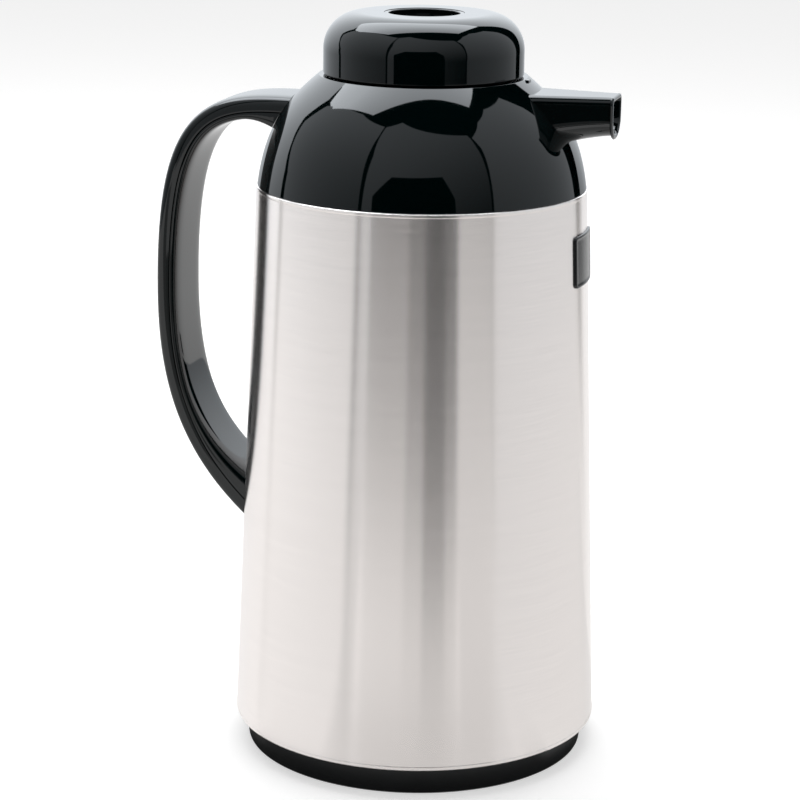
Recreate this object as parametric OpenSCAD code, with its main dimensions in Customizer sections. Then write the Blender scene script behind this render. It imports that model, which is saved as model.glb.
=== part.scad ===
// Insulated serving carafe: a conical steel jacket round a glass vacuum flask, a glossy shoulder
// with a fixed pouring spout and an arched handle, and a screw-in stopper whose cap has a hole
// in its middle, so that coffee can be brewed straight into the closed carafe.
// Millimetres. +Z is up, the spout points along +X and the handle lies along -X.
// The origin is the centre of the face that the carafe stands on.

/* [Jacket] */
// Outer radius of the steel jacket at its bottom edge
jacket_bottom_r = 73.2; // [71:0.2:80]
// Outer radius of the steel jacket under its top bead
jacket_top_r = 64.8; // [62:0.2:71]
// Height of the jacket's bottom edge above the table
jacket_lift = 11.6; // [10:0.2:16]
// Height of the jacket, from its bottom edge to the middle of its top bead
jacket_h = 215.5; // [205:0.5:245]
// Thickness of the steel sheet
jacket_wall = 0.8; // [0.6:0.1:1.2]
// Radius of the rolled beads at the jacket's two edges
bead_r = 0.9; // [0.7:0.1:1.3]
// Width of the lip that the jacket turns inwards at its bottom edge
jacket_lip = 3.8; // [3:0.2:5]

/* [Base] */
// Distance of the base ring's foot inside the jacket's bottom edge
base_foot_inset = 5.2; // [4.8:0.2:9]
// Width of the base ring's flat foot
base_foot_w = 7; // [5:0.5:9]
// Rounding of the base ring's foot
base_round = 1.4; // [0.6:0.2:2]
// Height of the base ring's skirt above the jacket's lip
base_skirt_h = 11; // [8:1:16]
// Wall thickness of the base ring's skirt
base_skirt_wall = 2.4; // [1.8:0.2:3]
// Height of the base cover's underside above the table
cover_recess = 2; // [1:0.5:3]
// Thickness of the base cover's floor
cover_floor = 3; // [2:0.5:4]
// Height of the base cover's rim, from its underside
cover_h = 6; // [5:0.5:7]
// Width of the base cover's rim
cover_rim_w = 5; // [4:0.5:7]
// Thickness of the web that the base ring reaches over the cover's rim
base_web_t = 2; // [1.6:0.2:2.4]
// Length of the coin slot in the base cover
coin_slot = 30; // [20:1:40]
// Width of that slot
coin_slot_w = 3; // [2:0.5:4]

/* [Flask] */
// Gap between the glass flask and the radius of the jacket's top edge
flask_gap = 5.3; // [4.5:0.1:9]
// Height of the flask's flat bottom above the table
flask_floor_z = 20; // [18:1:24]
// Thickness of each glass wall
glass_wall = 1.8; // [1.5:0.1:2.2]
// Width of the vacuum between the two glass walls
vacuum_gap = 2.4; // [2:0.2:3.2]
// Outer radius of the flask's neck
flask_neck_r = 27.5; // [26.5:0.5:28]
// Height of the flask's neck
flask_neck_h = 14; // [12:1:18]
// Depth of the flask's lip below the top of the shoulder
flask_lip_depth = 28; // [27:0.5:30]
// Radius of the flask's bottom corner
flask_bottom_round = 18; // [14:1:20]
// Radius of the flask's upper corner
flask_top_round = 30; // [26:1:32]
// Length of the sealed evacuation tip under the flask
tip_h = 7; // [5:0.5:8]
// Radius of that tip where it leaves the flask
tip_root_r = 5; // [4:0.5:7]
// Radius of its end
tip_end_r = 1.5; // [1:0.1:2]
// Radius of each spacer pad between the glass walls
spacer_r = 6; // [4:0.5:8]
// Distance of the spacer pads from the flask's axis
spacer_ring_r = 30; // [24:1:34]
// Inner radius of the rubber cradle
cradle_bore_r = 36; // [24:1:39]
// Height to which the cradle climbs round the flask's bottom corner
cradle_grip = 5; // [3:0.5:8]

/* [Shoulder] */
// Height of the shoulder above the jacket's top bead
shoulder_h = 43; // [41:0.5:46]
// Width of the edge of the shoulder that shows round the cap
shoulder_edge_w = 1.7; // [1:0.1:3]
// Step from the jacket's top bead in to the foot of the shoulder
hem_step = 0.4; // [0.2:0.1:1]
// Lean of the shoulder's side from the vertical, in degrees
shoulder_lean = 11; // [10:0.5:12.5]
// Slope of the shoulder's top from the horizontal, in degrees
shoulder_slope = 41.5; // [40.5:0.5:43.5]
// Rounding between the shoulder's side and its top
shoulder_round = 56; // [44:1:58]
// Wall thickness of the shoulder
shoulder_wall = 2.8; // [2.2:0.2:3.4]
// Depth of the shoulder's skirt inside the jacket
skirt_h = 14; // [10:1:20]
// Thickness of the ledge round that opening
ledge_h = 2.5; // [2:0.5:3.5]
// Width of the pointer on the shoulder that shows where the spout is
pointer_w = 4; // [3:0.5:6]
// Height of that pointer
pointer_h = 1.6; // [1:0.2:2.4]

/* [Neck] */
// Thickness of the gasket between the flask's lip and the neck collar
neck_gasket_h = 2.5; // [2:0.5:3.5]
// Depth of the gasket's skirt round the flask's neck
gasket_skirt_h = 5; // [3:0.5:8]
// Thickness of that skirt
gasket_skirt_t = 2; // [1.4:0.2:2.6]
// How far the neck collar's seat stands back from the flask's mouth
seat_step = 1; // [0.6:0.1:1.4]
// Thickness of the neck collar's seat
seat_h = 2; // [1.6:0.2:3]
// Inner radius of the neck collar
collar_r = 31.8; // [31.4:0.1:32]
// Wall thickness of the neck collar
collar_wall = 2.2; // [1.8:0.1:2.2]
// Width of the neck collar's flange under the shoulder's ledge
collar_flange_w = 4; // [3:0.5:5]
// Thickness of that flange
collar_flange_h = 3.5; // [2.5:0.5:4]

/* [Thread] */
// Rise of the quick thread in one full turn
thread_lead = 38; // [36:0.5:42]
// Number of starts of the quick thread
thread_starts = 4; // [4:1:4]
// Height of each thread rib
thread_rib_h = 1.6; // [1.2:0.1:2]
// Depth of each thread rib
thread_rib_d = 1.7; // [1.3:0.1:1.8]
// Arc of each rib in the collar, in degrees
collar_rib_arc = 50; // [40:1:54]
// Arc of each rib on the stopper, in degrees
stopper_rib_arc = 30; // [20:1:36]
// Height of the lower end of the collar's ribs above its seat
collar_rib_z = 10; // [8:0.5:12]

/* [Stopper] */
// Gap between the stopper's plug and the flask's mouth
plug_gap = 1.7; // [1.2:0.1:3]
// Depth of the plug below the collar's seat face
plug_h = 9.5; // [8:0.5:11]
// Gap between the stopper's wall and the collar, in which the threads and the coffee run
thread_room = 3.5; // [3.2:0.1:4.2]
// Wall thickness of the stopper
stopper_wall = 2; // [1.6:0.2:2.4]
// Thickness of the stopper's gasket
stopper_gasket_h = 2.5; // [2:0.5:3]
// Width of the stopper's gasket
stopper_gasket_w = 6; // [5:0.2:7]
// Thickness of the flange that carries the cap
stopper_flange_h = 2; // [1.6:0.2:3]
// Height of that sleeve, from the bottom of the plug
sleeve_h = 20; // [18:0.5:22]

/* [Cap] */
// Outer radius of the cap
cap_r = 38.9; // [38.4:0.1:40]
// Height of the cap
cap_h = 23.5; // [22:0.5:27]
// Rounding of the cap's top edge
cap_round = 14; // [8:1:15]
// Wall thickness of the cap
cap_wall = 2; // [1.6:0.2:2.4]
// Radius of the brewing hole in the cap
hole_r = 13.8; // [12:0.1:14.5]
// Length of the straight stretch of the brewing hole
hole_h = 5; // [4:0.5:7]
// Chamfer round the top of the brewing hole
hole_chamfer = 0.6; // [0.4:0.1:1]
// Wall thickness of the funnel under the brewing hole
funnel_wall = 1.6; // [1.2:0.1:2]
// Inner radius of the funnel's tube
tube_r = 5.5; // [5:0.1:5.7]
// Depth of the upper end of the funnel's tube below the cap's bottom edge
tube_drop = 4; // [0:0.5:6]
// Width of the funnel's flange under the cap
funnel_flange_w = 2.4; // [1.6:0.2:4]
// Height of the seal between the tube and its sleeve
seal_h = 2; // [1.6:0.2:3]
// Radius of the float ball that closes the tube
ball_r = 7; // [6.6:0.1:7.2]
// Travel of the float ball
ball_travel = 2.8; // [2:0.1:3]
// Gap between the float ball and the sleeve that it moves in
ball_room = 1.4; // [1.2:0.1:2]
// Thickness of the retainer that keeps the ball in
retainer_h = 2; // [1.5:0.5:2.5]
// Radius of the hole in that retainer
retainer_hole_r = 4; // [3:0.1:4.4]
// Radius of the four vents round that hole
vent_r = 1.2; // [0.8:0.1:1.4]

/* [Spout] */
// Distance of the spout's mouth from the carafe's axis
spout_reach = 76.4; // [72:0.2:84]
// Depth of the spout's flat top below the top of the shoulder
spout_drop = 4.5; // [4:0.1:6]
// Half width of the spout at its root
spout_root_w = 14; // [11:0.1:15]
// Half width of the spout behind its mouth
spout_tip_w = 8.5; // [8:0.1:10]
// Height of the spout at its root
spout_root_h = 24; // [21:0.5:25]
// Height of the spout behind its mouth
spout_tip_h = 15.4; // [14:0.1:17]
// Rounding depth of the spout's underside
spout_sag = 5; // [3:0.5:6]
// Width of the rim round the spout's mouth
rim_w = 1.2; // [0.8:0.2:3]
// How far that rim stands out from the spout's sides and underside
rim_step = 1.2; // [0.4:0.1:1.6]
// Wall thickness beside the pouring channel, behind the mouth
spout_side_wall = 2.2; // [1.8:0.1:3]
// Wall thickness over the pouring channel
spout_roof = 3.5; // [2:0.1:4]
// Wall thickness under the pouring channel, behind the mouth
spout_floor = 2.5; // [2.2:0.1:3.5]
// Wall thickness of the duct between the collar and the spout
duct_wall = 1.4; // [1:0.1:1.8]

/* [Handle] */
// Distance of the middle of the grip from the carafe's axis
handle_reach = 101.8; // [98:0.2:112]
// Depth of the handle's upper arm below the top of the shoulder
handle_drop = 14.3; // [13:0.1:15.5]
// Height at which the grip stands furthest out
handle_mid_z = 181; // [170:1:190]
// Height at which the handle's lower end runs into the jacket
handle_foot_z = 92.5; // [84:0.5:104]
// Width of the handle
handle_w = 30; // [26:0.5:34]
// Thickness of the handle's outer shell
handle_outer_t = 6.1; // [5.4:0.1:7]
// Thickness of the handle's inner shell
handle_inner_t = 3.1; // [2.6:0.1:4]
// Wall thickness of the handle's outer shell
handle_wall = 2.4; // [2:0.1:3]
// How much deeper the handle's arm gets where it meets the shoulder
handle_flare = 4.5; // [2:0.5:6]
// How much deeper it gets where it runs into the jacket
handle_foot_flare = 7.7; // [4:0.1:9]
// Radius of the handle screws
screw_r = 1.3; // [1.1:0.1:1.4]
// Radius of the bosses in the handle that the screws hold
boss_r = 2.6; // [2.2:0.1:2.8]
// Radius of the screws' heads
screw_head_r = 2.8; // [2.4:0.1:3.2]
// Height of the screws' heads
screw_head_h = 1.8; // [1.4:0.1:2.2]
// Width of the bearing face round each upper screw's head
screw_margin = 1; // [0.6:0.1:1.6]
// Length of the pads inside the shoulder that the upper screws pass through
screw_pad = 7; // [5:0.5:9]
// Length of the upper screws under their heads
upper_screw_len = 15; // [13:0.5:17]
// Length of the lower screw under its head
lower_screw_len = 7.5; // [6:0.5:8]
// Distance between the two upper screws
screw_pitch = 12; // [10:0.5:14]
// Height of the lower screw above the handle's lower end
lower_screw_rise = 10; // [8:0.5:12]
// Thickness of the backing plate behind the lower screw
backing_t = 1.6; // [1.2:0.1:2]
// Half height of that backing plate
backing_half = 10; // [8:1:14]
// Half angle of that backing plate, in degrees
backing_angle = 9; // [6:1:14]

/* [Plate] */
// Width of the blank plate under the spout
plate_w = 27; // [20:0.5:32]
// Height of the plate
plate_h = 20; // [16:0.5:26]
// Thickness of the plate
plate_t = 0.8; // [0.6:0.1:1.2]
// Corner radius of the plate
plate_round = 1.6; // [1:0.1:3]
// Distance from the middle of the jacket's top bead down to the middle of the plate
plate_drop = 24; // [20:0.5:60]

/* [Fits] */
// Gap between the cap and the shoulder
cap_gap = 0.5; // [0.4:0.1:0.8]
// Gap between the neck collar and the opening in the shoulder
mouth_gap = 0.5; // [0.3:0.1:0.8]
// Clearance of parts that slip into each other and don't move
slip = 0.2; // [0.15:0.05:0.3]
// Clearance between the thread ribs of the stopper and the collar
thread_gap = 0.35; // [0.3:0.05:0.45]
// Clearance of the float ball at each end of its travel
ball_gap = 0.2; // [0.15:0.05:0.3]

/* [Hidden] */

$fn = 96;
hull_fn = 32;
eps = 0.01;
big = 400;
// How far a cutting body reaches past the face that it cuts
over = 1;

black = [0.04, 0.04, 0.045];
soft_black = [0.09, 0.09, 0.095];
steel = [0.82, 0.81, 0.79];
glass_silver = [0.75, 0.78, 0.8];
silicone = [0.62, 0.6, 0.56];
amber = [0.9, 0.87, 0.8];

// Radii that follow from the jacket, the cap, the collar and the flask's neck
flask_r = jacket_top_r - flask_gap;
base_foot_r = jacket_bottom_r - base_foot_inset;
shoulder_bottom_r = jacket_top_r - hem_step;
shoulder_top_r = cap_r + shoulder_edge_w;
collar_out_r = collar_r + collar_wall;
flange_out_r = collar_out_r + collar_flange_w;
shoulder_mouth_r = collar_out_r + mouth_gap;
flask_mouth_r = flask_neck_r - 2 * glass_wall - vacuum_gap;
seat_r = flask_mouth_r + seat_step;
plug_r = flask_mouth_r - plug_gap;
stopper_r = collar_r - thread_room;
sleeve_r = ball_r + ball_room;

// Heights of the stack, from the table up
bead_z = jacket_lift + jacket_h;
shoulder_z = bead_z + bead_r;
top_z = shoulder_z + shoulder_h;
cap_z = top_z + cap_gap;
lip_z = top_z - flask_lip_depth;
seat_z = lip_z + neck_gasket_h + seat_h;
stopper_z = seat_z + stopper_gasket_h;
plug_z = seat_z - plug_h;
cover_top_z = cover_recess + cover_h;
ledge_z = top_z - ledge_h;

// Radius of the jacket's outer face at height z
jacket_slope = (jacket_bottom_r - jacket_top_r) / jacket_h;
function jacket_r(z) = jacket_bottom_r - jacket_slope * (z - jacket_lift);

// Point where the line through p along u meets the line through q along v
function meet(p, u, q, v) = p + u * cross(q - p, v) / cross(u, v);

// Turns a flat outline, drawn as radius and height, round the carafe's axis
module revolve() rotate_extrude() children();

// A ring of rectangular section
module ring(inner_r, outer_r, z0, z1)
    revolve() translate([inner_r, z0]) square([outer_r - inner_r, z1 - z0]);

// A round bar along +X
module bar_x(r, x0, x1, y, z) translate([x0, y, z]) rotate([0, 90, 0]) cylinder(r = r, h = x1 - x0);

// Draws a flat outline in the Y-Z plane and extrudes it from x0 to x1
module along_x(x0, x1) translate([x0, 0, 0]) rotate([90, 0, 90]) linear_extrude(x1 - x0) children();

// ---- Steel jacket ----

module jacket_solid(grow = 0) revolve() polygon([
    [0, jacket_lift - big], [jacket_r(jacket_lift - big) + grow, jacket_lift - big],
    [jacket_r(bead_z) + grow, bead_z], [0, bead_z]]);

module jacket_sheet() revolve() {
    polygon([
        [jacket_bottom_r - jacket_wall, jacket_lift + bead_r],
        [jacket_bottom_r - jacket_slope * bead_r, jacket_lift + bead_r],
        [jacket_top_r, bead_z], [jacket_top_r - jacket_wall, bead_z]]);
    translate([jacket_top_r - bead_r, bead_z]) circle(bead_r);
    translate([jacket_bottom_r - bead_r, jacket_lift + bead_r]) circle(bead_r);
    translate([jacket_bottom_r - jacket_lip, jacket_lift]) square([jacket_lip - bead_r, jacket_wall]);
}

module outer_body() color(steel) difference() {
    jacket_sheet();
    bar_x(screw_r + slip, -jacket_bottom_r, -jacket_top_r / 2, 0, lower_screw_z);
}

// ---- Base ----

ring_waist_r = jacket_bottom_r - jacket_lip - slip;
ring_skirt_r = jacket_bottom_r - 2 * bead_r - slip;
ring_shelf_z = jacket_lift + jacket_wall;
cover_r = base_foot_r - base_foot_w;
cover_rim_r = cover_r - cover_rim_w;

// The ring rests on the jacket's lip from inside, and the base cover closes it from below
module base_ring() color(soft_black) revolve() polygon([
    [cover_r + slip, 0], [base_foot_r - base_round, 0], [base_foot_r, base_round],
    [ring_waist_r, jacket_lift - slip], [ring_waist_r, ring_shelf_z], [ring_skirt_r, ring_shelf_z],
    [ring_skirt_r, jacket_lift + base_skirt_h],
    [ring_skirt_r - base_skirt_wall, jacket_lift + base_skirt_h],
    [ring_skirt_r - base_skirt_wall, ring_shelf_z + base_web_t],
    [cover_rim_r, cover_top_z + base_web_t],
    [cover_rim_r, cover_top_z], [cover_r + slip, cover_top_z]]);

module base_cover() color(soft_black) difference() {
    union() {
        ring(0, cover_r, cover_recess, cover_recess + cover_floor);
        ring(cover_rim_r, cover_r, cover_recess, cover_top_z);
    }
    translate([-coin_slot / 2, -coin_slot_w / 2, cover_recess - over])
        cube([coin_slot, coin_slot_w, over + cover_floor / 2]);
}

// Rubber cradle that centres the flask's bottom corner on the base cover
module flask_cradle() color(soft_black) difference() {
    ring(cradle_bore_r, cover_rim_r - slip, cover_recess + cover_floor, flask_floor_z + cradle_grip);
    flask_solid(0);
}

// ---- Glass flask: two silvered walls round a vacuum, fused at the lip ----

flask_body_top = lip_z - flask_neck_h;

module flask_outline(inset) {
    r = flask_r - inset;
    low = flask_bottom_round - inset;
    high = flask_top_round - inset;
    z0 = flask_floor_z + inset;
    z1 = flask_body_top - inset;
    translate([0, z0]) square([r - low, low]);
    translate([0, z0 + low]) square([r, z1 - z0 - low - high]);
    translate([0, z1 - high]) square([r - high, high]);
    intersection() {
        union() {
            translate([r - low, z0 + low]) circle(low);
            translate([r - high, z1 - high]) circle(high);
        }
        translate([0, z0]) square([r, z1 - z0]);
    }
}

module flask_solid(inset) revolve() {
    flask_outline(inset);
    translate([0, flask_body_top - flask_top_round])
        square([flask_neck_r - inset, flask_neck_h + flask_top_round]);
}

module flask_outer_wall() color(glass_silver) difference() {
    union() {
        flask_solid(0);
        translate([0, 0, flask_floor_z - tip_h])
            cylinder(r1 = tip_end_r, r2 = tip_root_r, h = tip_h + eps);
    }
    flask_solid(glass_wall);
    ring(0, big, lip_z - glass_wall, top_z);
}

module flask_inner_wall() color(glass_silver) difference() {
    union() {
        flask_solid(glass_wall + vacuum_gap);
        ring(0, flask_neck_r, lip_z - glass_wall, lip_z);
    }
    flask_solid(2 * glass_wall + vacuum_gap);
}

module flask_spacers() color(silicone) for (i = [0 : 2])
    rotate([0, 0, 60 + 120 * i])
        translate([spacer_ring_r, 0, flask_floor_z + glass_wall]) cylinder(r = spacer_r, h = vacuum_gap);

// ---- Neck ----

module neck_gasket() color(silicone) {
    skirt_r = flask_neck_r + slip;
    ring(seat_r, collar_out_r, lip_z, lip_z + neck_gasket_h);
    ring(skirt_r, skirt_r + gasket_skirt_t, lip_z - gasket_skirt_h, lip_z + eps);
}

// Height of a thread rib's crest, as a share of its height at the root
thread_crest = 0.6;

// One rib of the quick thread, from root_r to crest_r, rising along its arc from height z
module thread_rib(root_r, crest_r, start, arc, z) {
    steps = 12;
    half = thread_rib_h / 2;
    tip = half * thread_crest;
    section = [[root_r, -half], [root_r, half], [crest_r, tip], [crest_r, -tip]];
    points = [for (i = [0 : steps], p = section)
        let (a = start + arc * i / steps)
        [p[0] * cos(a), p[0] * sin(a), z + thread_lead * arc * i / steps / 360 + p[1]]];
    sides = [for (i = [0 : steps - 1], j = [0 : 3])
        let (a = 4 * i + j, b = 4 * i + (j + 1) % 4) each [[a, b, b + 4], [a, b + 4, a + 4]]];
    ends = [[3, 2, 1, 0], [for (j = [0 : 3]) 4 * steps + j]];
    flip = crest_r < root_r;
    faces = concat(sides, ends);
    polyhedron(points, flip ? faces : [for (f = faces) [for (k = [len(f) - 1 : -1 : 0]) f[k]]]);
}

rib_pitch = 360 / thread_starts;
collar_rib_start = (rib_pitch - collar_rib_arc) / 2;
stopper_rib_start = (rib_pitch - stopper_rib_arc) / 2;
rib_foot_z = seat_z + collar_rib_z;
stopper_rib_rise = thread_lead * (stopper_rib_start - collar_rib_start) / 360;
stopper_rib_z = rib_foot_z + stopper_rib_rise - thread_rib_h - thread_gap;

module neck_collar() color(soft_black) {
    difference() {
        union() {
            ring(collar_r, collar_out_r, seat_z - seat_h, ledge_z);
            ring(seat_r, collar_out_r, seat_z - seat_h, seat_z);
            ring(collar_r, flange_out_r, ledge_z - collar_flange_h, ledge_z);
        }
        pour_channel(seat_r, spout_reach);
    }
    for (i = [0 : thread_starts - 1])
        thread_rib(collar_r + collar_wall / 2, collar_r - thread_rib_d,
                   rib_pitch * i + collar_rib_start, collar_rib_arc, rib_foot_z);
}

// ---- Shoulder ----

// Directions along the shoulder's leaning side and sloping top, and into it from each of them
side_way = [-sin(shoulder_lean), cos(shoulder_lean)];
slope_way = [cos(shoulder_slope), -sin(shoulder_slope)];
side_in = [-cos(shoulder_lean), -sin(shoulder_lean)];
slope_in = [-sin(shoulder_slope), -cos(shoulder_slope)];
shoulder_foot = [shoulder_bottom_r, shoulder_z];
shoulder_head = [shoulder_top_r, top_z];
// Centre of the wide rounding between the side and the top
round_centre = meet(shoulder_foot + side_in * shoulder_round, side_way,
                    shoulder_head + slope_in * shoulder_round, slope_way);

// Outline of the shoulder, set in by inset: a leaning side, a rounding and a sloping top
module shoulder_outline(inset) {
    reach = shoulder_round - inset;
    low = meet(shoulder_foot + side_in * inset, side_way, [0, shoulder_z], [1, 0]);
    high = meet(shoulder_head + slope_in * inset, slope_way, [0, top_z], [1, 0]);
    polygon([[0, shoulder_z], low, round_centre - side_in * reach, round_centre - slope_in * reach,
             high, [0, top_z]]);
    intersection() {
        translate(round_centre) circle(reach);
        translate([0, shoulder_z]) square([big, shoulder_h]);
    }
}

module shoulder_solid() revolve() shoulder_outline(0);

skirt_r = jacket_top_r - 2 * bead_r - slip;

// Shell of the shoulder: its wall, the ledge round its mouth and the skirt inside the jacket
module shoulder_shell() revolve() {
    difference() {
        shoulder_outline(0);
        intersection() {
            shoulder_outline(shoulder_wall);
            square([big, ledge_z]);
        }
        square([shoulder_mouth_r, top_z + over]);
    }
    translate([skirt_r - shoulder_wall, shoulder_z - skirt_h])
        square([shoulder_wall, skirt_h + shoulder_wall / 2]);
}

module shoulder() color(black) difference() {
    union() {
        shoulder_shell();
        intersection() {
            shoulder_solid();
            for (side = [-1, 1])
                bar_x(screw_head_r + screw_margin, -shoulder_bottom_r, -upper_seat_x,
                      side * screw_pitch / 2, upper_screw_z);
        }
        // Pointer on the edge of the ledge, which shows where the spout is
        translate([shoulder_top_r, -pointer_w / 2, top_z - pointer_h])
            cube([pointer_h, pointer_w, pointer_h]);
    }
    duct_outer(slip);
    for (side = [-1, 1])
        bar_x(screw_r + slip, -shoulder_bottom_r, 0, side * screw_pitch / 2, upper_screw_z);
}

// ---- Spout ----

spout_top_z = top_z - spout_drop;
channel_w = spout_tip_w - spout_side_wall;
channel_top_z = spout_top_z - spout_roof;
channel_low_z = spout_top_z - spout_tip_h + spout_floor;

// A section that is flat on top and rounded below, with half width w
module u_section(w, top, low, sag) {
    r = (w * w + sag * sag) / (2 * sag);
    translate([-w, low + sag]) square([2 * w, top - low - sag]);
    intersection() {
        translate([0, low + r]) circle(r);
        translate([-w, low]) square([2 * w, sag + eps]);
    }
}

module pour_channel(x0, x1)
    along_x(x0, x1) u_section(channel_w, channel_top_z, channel_low_z, spout_sag / 2);

module duct_outer(clear)
    along_x(collar_r, shoulder_bottom_r)
        u_section(channel_w + duct_wall + clear, channel_top_z + duct_wall + clear,
                  channel_low_z - duct_wall - clear, spout_sag / 2);

module spout() color(black) difference() {
    union() {
        difference() {
            hull() {
                along_x(shoulder_top_r, shoulder_top_r + eps)
                    u_section(spout_root_w, spout_top_z, spout_top_z - spout_root_h, spout_sag,
                              $fn = hull_fn);
                along_x(spout_reach - rim_w, spout_reach - rim_w + eps)
                    u_section(spout_tip_w, spout_top_z, spout_top_z - spout_tip_h, spout_sag,
                              $fn = hull_fn);
            }
            shoulder_solid();
        }
        along_x(spout_reach - rim_w, spout_reach)
            u_section(spout_tip_w + rim_step, spout_top_z, spout_top_z - spout_tip_h - rim_step,
                      spout_sag);
        duct_outer(0);
    }
    pour_channel(0, spout_reach + over);
    ring(0, collar_out_r + slip / 2, shoulder_z, top_z);
    ring(0, flange_out_r + slip, ledge_z - collar_flange_h - slip, top_z);
}

// ---- Handle: an outer shell of U section, closed by an inner shell ----

// The handle's centreline starts under the shoulder, 3.5 mm out from its top edge, and ends 4 mm
// inside the jacket's face. The guide points set how full its bends are.
handle_arm_z = top_z - handle_drop;
arm_x = shoulder_top_r + 3.5;
foot_x = jacket_r(handle_foot_z) - 4;
UPPER_GUIDES = [[-36.5, 1], [0, 2]];
LOWER_GUIDES = [[0, -32.5], [6, 26]];
GRIP = [-handle_reach, handle_mid_z];
UPPER_ARM = [[-arm_x, handle_arm_z], [-arm_x, handle_arm_z] + UPPER_GUIDES[0],
             [-handle_reach, handle_arm_z] + UPPER_GUIDES[1], GRIP];
LOWER_ARM = [GRIP, GRIP + LOWER_GUIDES[0],
             [-handle_reach, handle_foot_z] + LOWER_GUIDES[1], [-foot_x, handle_foot_z]];

function bezier(p, t) =
    pow(1 - t, 3) * p[0] + 3 * pow(1 - t, 2) * t * p[1] + 3 * (1 - t) * t * t * p[2] + pow(t, 3) * p[3];
function bezier_way(p, t) =
    let (d = pow(1 - t, 2) * (p[1] - p[0]) + 2 * (1 - t) * t * (p[2] - p[1]) + t * t * (p[3] - p[2]))
    d / norm(d);

arm_steps = 14;
// Each station holds its place, its direction and how far it is along the upper and the lower
// arm, 0 to 1 for each
STATIONS = concat(
    [for (i = [0 : arm_steps]) let (t = i / arm_steps)
        [bezier(UPPER_ARM, t), bezier_way(UPPER_ARM, t), t, 0]],
    [for (i = [1 : arm_steps]) let (t = i / arm_steps)
        [bezier(LOWER_ARM, t), bezier_way(LOWER_ARM, t), 1, t]]);

parting = -(handle_outer_t + handle_inner_t) / 2 + handle_inner_t;
section_steps = 14;
squareness = 0.3;

// Half an outline that is part ellipse, part rectangle: w across, h high
function half_round(w, h, turn) = [for (i = [0 : section_steps])
    let (a = 180 * i / section_steps, c = cos(a), s = sin(a))
    [w * sign(c) * pow(abs(c), squareness), turn * h * pow(abs(s), squareness)]];

// Places a section point, across and outwards, at a station of the handle
function at_station(s, across, out) =
    [s[0][0] + out * s[1][1], across, s[0][1] - out * s[1][0]];

// Skins rings of equal length; caps is the list of faces that closes the first ring
module skin(rings, caps) {
    n = len(rings[0]);
    last = (len(rings) - 1) * n;
    sides = [for (i = [0 : len(rings) - 2], j = [0 : n - 1])
        let (a = i * n + j, b = i * n + (j + 1) % n) each [[a, b + n, b], [a, a + n, b + n]]];
    far = [for (f = caps) [for (k = [len(f) - 1 : -1 : 0]) f[k] + last]];
    polyhedron([for (r = rings, p = r) p], concat(sides, caps, far));
}

module handle_outer_sweep() {
    m = section_steps;
    outer = half_round(handle_w / 2, handle_outer_t, 1);
    inner = half_round(handle_w / 2 - handle_wall, handle_outer_t - handle_wall, 1);
    rings = [for (s = STATIONS) concat(
        [for (p = outer) at_station(s, p[0], parting + p[1])],
        [for (i = [m : -1 : 0]) at_station(s, inner[i][0], parting + inner[i][1])])];
    caps = [for (i = [0 : m - 1]) each [[i, i + 1, 2 * m - i], [i, 2 * m - i, 2 * m + 1 - i]]];
    skin(rings, caps);
}

// The flares start this far along their arms. The upper one has its full depth at the
// shoulder's wall and the lower one at the arm's end.
flare_start = 0.28;
flare_full = 0.12;
foot_flare_start = 0.4;

module handle_inner_sweep() {
    rings = [for (s = STATIONS)
        let (flare = max(0, flare_start - s[2]) / (flare_start - flare_full),
             foot_flare = max(0, s[3] - foot_flare_start) / (1 - foot_flare_start),
             deep = handle_inner_t - slip + handle_flare * pow(flare, 2)
                    + handle_foot_flare * pow(foot_flare, 2))
        [for (p = half_round(handle_w / 2, deep, -1)) at_station(s, p[0], parting - slip + p[1])]];
    skin(rings, [[for (i = [section_steps : -1 : 0]) i]]);
}

module carafe_side() {
    shoulder_solid();
    jacket_solid();
    ring(0, jacket_top_r, bead_z - bead_r, shoulder_z);
}

// The upper screws run along the arm from pads inside the shoulder, just under the roof of the
// outer shell, and the lower one from a plate inside the jacket
upper_screw_z = handle_arm_z + parting + handle_outer_t - handle_wall - 2 * slip - boss_r;
upper_seat_x = round_centre[0] - screw_pad
               + sqrt(pow(shoulder_round, 2) - pow(handle_arm_z - round_centre[1], 2));
lower_screw_z = handle_foot_z + lower_screw_rise;
lower_seat_x = jacket_r(lower_screw_z) - jacket_wall - backing_t - 2 * slip;

module at_screws() {
    for (side = [-1, 1])
        translate([-upper_seat_x, side * screw_pitch / 2, upper_screw_z]) children(0);
    translate([-lower_seat_x, 0, lower_screw_z]) children(1);
}

module handle_outer() color(black) difference() {
    handle_outer_sweep();
    carafe_side();
}

module handle_inner() color(black) difference() {
    union() {
        handle_inner_sweep();
        at_screws() {
            bar_x(boss_r, -upper_screw_len - over, 0, 0, 0);
            bar_x(boss_r, -lower_screw_len - over, 0, 0, 0);
        }
    }
    carafe_side();
    at_screws() {
        bar_x(screw_r, -upper_screw_len, 0, 0, 0);
        bar_x(screw_r, -lower_screw_len, 0, 0, 0);
    }
}

module handle_screw(length) {
    bar_x(screw_r, -length, eps, 0, 0);
    bar_x(screw_head_r, 0, screw_head_h, 0, 0);
}

module handle_screws() color(steel) at_screws() {
    handle_screw(upper_screw_len);
    handle_screw(lower_screw_len);
}

module handle_backing_plate() color(steel) difference() {
    rotate([0, 0, 180 - backing_angle]) rotate_extrude(angle = 2 * backing_angle)
        polygon([for (p = [[0, -1], [1, -1], [1, 1], [0, 1]])
            let (z = lower_screw_z + p[1] * backing_half)
            [jacket_r(z) - jacket_wall - slip - (1 - p[0]) * backing_t, z]]);
    bar_x(screw_r + slip, -jacket_bottom_r, 0, 0, lower_screw_z);
}

// ---- Blank plate under the spout ----

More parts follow.
